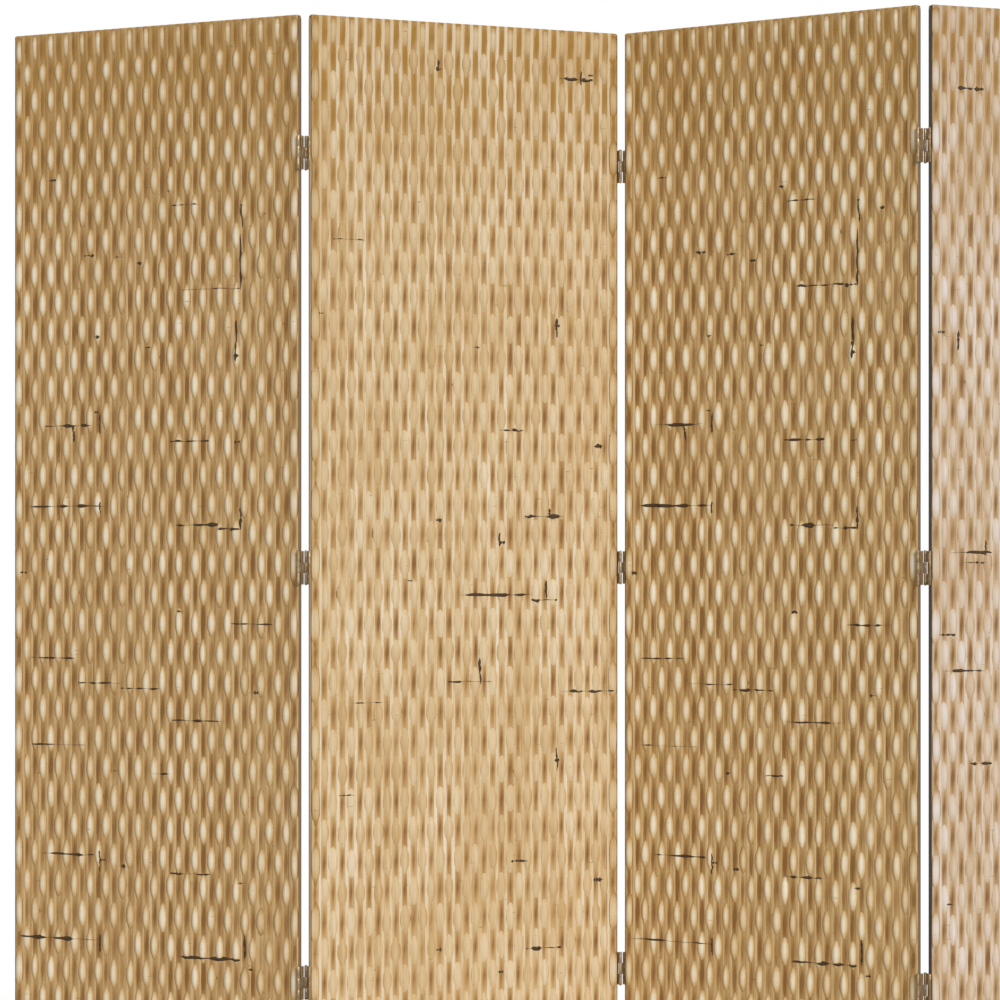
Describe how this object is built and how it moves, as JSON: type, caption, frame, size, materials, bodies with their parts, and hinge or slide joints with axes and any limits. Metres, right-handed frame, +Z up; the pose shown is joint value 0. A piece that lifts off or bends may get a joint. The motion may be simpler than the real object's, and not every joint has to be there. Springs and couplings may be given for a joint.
{
  "type": "folding screen",
  "caption": "Free-standing zigzag folding screen: wooden frames clad in woven rush, joined edge to edge by two-way hinges so that every fold opens either way.",
  "frame": {"origin": "bottom centre of the box round the screen as it stands in its zigzag", "axes": "+Z up, +X along the screen from the first panel to the last, -Y towards the viewer"},
  "size_m": [1.8866, 0.3226, 1.68],
  "materials": {
    "frame_wood": "satin",
    "rush": "matte",
    "hinge_brass": "satin",
    "pin_brass": "satin"
  },
  "bodies": {
    "panel_1": {"left_stile_1": "frame_wood", "right_stile_1": "frame_wood", "top_rail_1": "frame_wood", "bottom_rail_1": "frame_wood", "cross_laths_1": "frame_wood", "rush_weave_1": "rush", "hinge_left_leaves_1": "hinge_brass", "hinge_front_pins_1": "pin_brass"},
    "panel_2": {"left_stile_2": "frame_wood", "right_stile_2": "frame_wood", "top_rail_2": "frame_wood", "bottom_rail_2": "frame_wood", "cross_laths_2": "frame_wood", "rush_weave_2": "rush", "hinge_right_leaves_1": "hinge_brass", "hinge_back_pins_1": "pin_brass", "hinge_left_leaves_2": "hinge_brass", "hinge_front_pins_2": "pin_brass"},
    "panel_3": {"left_stile_3": "frame_wood", "right_stile_3": "frame_wood", "top_rail_3": "frame_wood", "bottom_rail_3": "frame_wood", "cross_laths_3": "frame_wood", "rush_weave_3": "rush", "hinge_right_leaves_2": "hinge_brass", "hinge_back_pins_2": "pin_brass", "hinge_left_leaves_3": "hinge_brass", "hinge_front_pins_3": "pin_brass"},
    "panel_4": {"left_stile_4": "frame_wood", "right_stile_4": "frame_wood", "top_rail_4": "frame_wood", "bottom_rail_4": "frame_wood", "cross_laths_4": "frame_wood", "rush_weave_4": "rush", "hinge_right_leaves_3": "hinge_brass", "hinge_back_pins_3": "pin_brass"},
    "link_1": {"hinge_links_1": "hinge_brass"},
    "link_2": {"hinge_links_2": "hinge_brass"},
    "link_3": {"hinge_links_3": "hinge_brass"}
  },
  "joints": [
    {"name": "front_fold_1", "type": "hinge", "parent": "link_1", "child": "panel_1", "pos_m": [-0.48215, -0.06918, 0.84], "axis": [0, 0, -1], "range_deg": [-180, 0]},
    {"name": "back_fold_1", "type": "hinge", "parent": "panel_2", "child": "link_1", "pos_m": [-0.47162, -0.05158, 0.84], "axis": [0, 0, -1], "range_deg": [-47, 133]},
    {"name": "front_fold_2", "type": "hinge", "parent": "link_2", "child": "panel_2", "pos_m": [0.01231, 0.12194, 0.84], "axis": [0, 0, 1], "range_deg": [-55, 125]},
    {"name": "back_fold_2", "type": "hinge", "parent": "panel_3", "child": "link_2", "pos_m": [0.02518, 0.1379, 0.84], "axis": [0, 0, 1], "range_deg": [-180, 0]},
    {"name": "front_fold_3", "type": "hinge", "parent": "panel_3", "child": "link_3", "pos_m": [0.4449, -0.15899, 0.84], "axis": [0, 0, 1], "range_deg": [-180, 0]},
    {"name": "back_fold_3", "type": "hinge", "parent": "link_3", "child": "panel_4", "pos_m": [0.45777, -0.14302, 0.84], "axis": [0, 0, 1], "range_deg": [-53, 127]}
  ]
}
